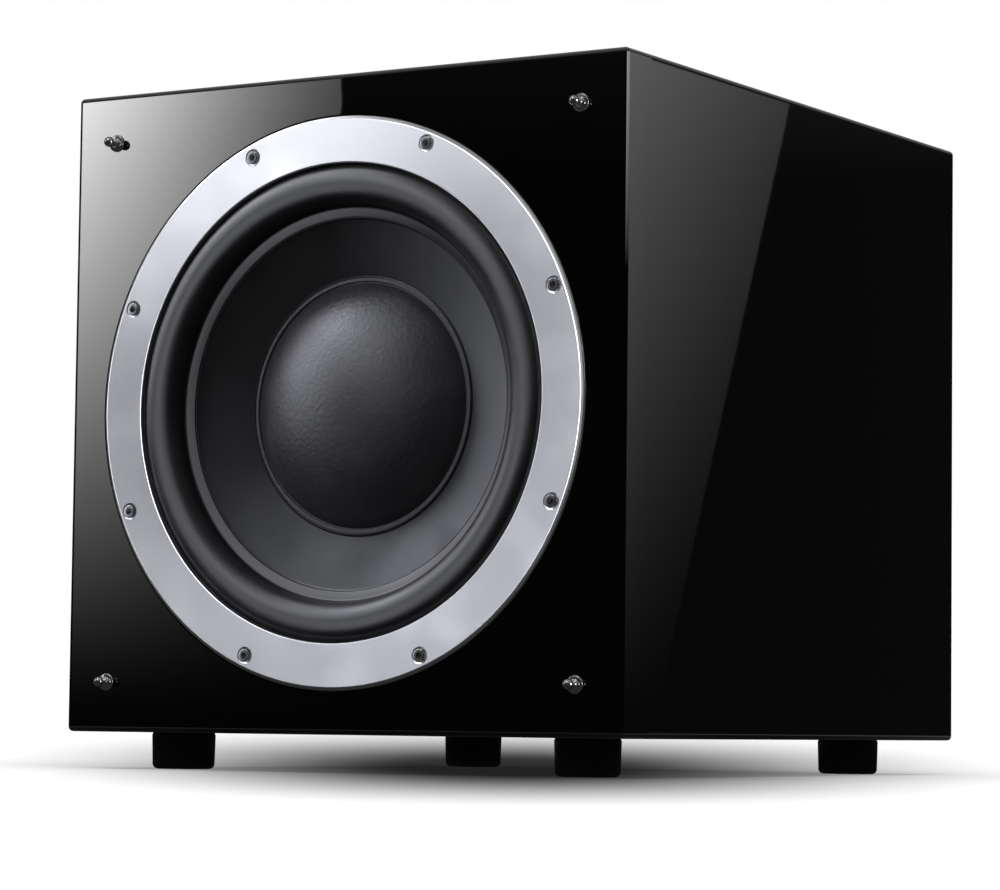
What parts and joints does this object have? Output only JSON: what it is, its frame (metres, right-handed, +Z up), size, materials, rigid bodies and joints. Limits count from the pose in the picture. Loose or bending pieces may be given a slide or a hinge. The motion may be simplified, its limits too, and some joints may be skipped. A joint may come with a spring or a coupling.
{
  "type": "subwoofer",
  "caption": "Powered sealed subwoofer: gloss black near-cubic cabinet on rubber feet, large driver under a silver clamp ring, grille posts, rear plate amplifier.",
  "frame": {"origin": "on the floor, under the middle of the object's whole outline (feet to top, grille posts to heat sink)", "axes": "+Z up; the driver's face looks along -Y; +X is to the right for someone facing the front"},
  "size_m": [0.35, 0.429, 0.37],
  "materials": {
    "lacquer": "gloss black lacquer on fibreboard",
    "foot_rubber": "matt black moulded rubber",
    "chrome": "polished chrome plate",
    "satin_aluminium": "satin blasted and clear anodised",
    "cast_frame": "die cast, black powder coat",
    "gasket_foam": "closed-cell foam",
    "screw_steel": "bright zinc-nickel plate",
    "surround_rubber": "smooth satin butyl rubber",
    "cone_fibre": "coated charcoal fibre pulp",
    "cap_weave": "fine woven fibre, satin clear coat",
    "spider_cloth": "resin-stiffened cotton",
    "coil_former": "amber polyimide film",
    "coil_copper": "enamelled copper wire and braid",
    "zinc_steel": "zinc-plated mild steel",
    "ferrite": "sintered ferrite",
    "black_plastic": "fine-textured moulded black",
    "cable_jacket": "flexible cable jacket",
    "powder_coat": "fine-textured black powder coat",
    "black_anodised": "black anodised extrusion",
    "circuit_board": "solder-masked glass-fibre board",
    "nickel": "nickel plate",
    "black_steel": "black oxide steel"
  },
  "bodies": {
    "cabinet": {"front_baffle": "lacquer", "rear_panel": "lacquer", "top_panel": "lacquer", "bottom_panel": "lacquer", "left_panel": "lacquer", "right_panel": "lacquer", "foot_front_left": "foot_rubber", "foot_front_right": "foot_rubber", "foot_rear_left": "foot_rubber", "foot_rear_right": "foot_rubber", "grille_post_top_left": "chrome", "grille_post_top_right": "chrome", "grille_post_bottom_left": "chrome", "grille_post_bottom_right": "chrome", "trim_ring": "satin_aluminium", "driver_basket": "cast_frame", "basket_gasket": "gasket_foam", "driver_screw_1": "screw_steel", "driver_screw_2": "screw_steel", "driver_screw_3": "screw_steel", "driver_screw_4": "screw_steel", "driver_screw_5": "screw_steel", "driver_screw_6": "screw_steel", "driver_screw_7": "screw_steel", "driver_screw_8": "screw_steel", "surround": "surround_rubber", "spider": "spider_cloth", "tinsel_lead_left": "coil_copper", "tinsel_lead_right": "coil_copper", "power_transformer": "coil_copper", "top_plate": "zinc_steel", "pole_yoke": "zinc_steel", "volume_pot": "zinc_steel", "crossover_pot": "zinc_steel", "phase_switch_body": "zinc_steel", "magnet_ring": "ferrite", "terminal_block": "black_plastic", "power_switch_body": "black_plastic", "mains_inlet": "black_plastic", "speaker_cable": "cable_jacket", "amp_plate": "powder_coat", "heat_sink": "black_anodised", "amp_board": "circuit_board", "rca_jack_left": "nickel", "rca_jack_right": "nickel", "amp_screw_1": "black_steel", "amp_screw_2": "black_steel", "amp_screw_3": "black_steel", "amp_screw_4": "black_steel", "amp_screw_5": "black_steel", "amp_screw_6": "black_steel"},
    "driver_motion": {"cone": "cone_fibre", "dust_cap": "cap_weave", "voice_coil_former": "coil_former", "voice_coil": "coil_copper"},
    "volume_control": {"volume_knob": "black_plastic"},
    "crossover_control": {"crossover_knob": "black_plastic"},
    "phase_lever": {"phase_switch_lever": "black_plastic"},
    "power_key": {"power_rocker": "black_plastic"},
    "fuse_holder": {"fuse_drawer": "black_plastic"}
  },
  "joints": [
    {"name": "cone_travel", "type": "slide", "parent": "cabinet", "child": "driver_motion", "axis": [0, -1, 0], "range_m": [-0.008, 0.008], "deforming": ["surround", "spider", "tinsel_lead_left", "tinsel_lead_right"]},
    {"name": "volume_turn", "type": "hinge", "parent": "cabinet", "child": "volume_control", "pos_m": [0.07, 0.1925, 0.173], "axis": [0, 1, 0], "range_deg": [-150, 150]},
    {"name": "crossover_turn", "type": "hinge", "parent": "cabinet", "child": "crossover_control", "pos_m": [-0.07, 0.1925, 0.173], "axis": [0, 1, 0], "range_deg": [-150, 150]},
    {"name": "phase_slide", "type": "slide", "parent": "cabinet", "child": "phase_lever", "axis": [1, 0, 0], "range_m": [0, 0.005]},
    {"name": "power_rock", "type": "hinge", "parent": "cabinet", "child": "power_key", "pos_m": [-0.062, 0.1935, 0.133], "axis": [0, 0, 1], "range_deg": [-16, 0]},
    {"name": "fuse_pull", "type": "slide", "parent": "cabinet", "child": "fuse_holder", "axis": [0, 1, 0], "range_m": [0, 0.018]}
  ]
}
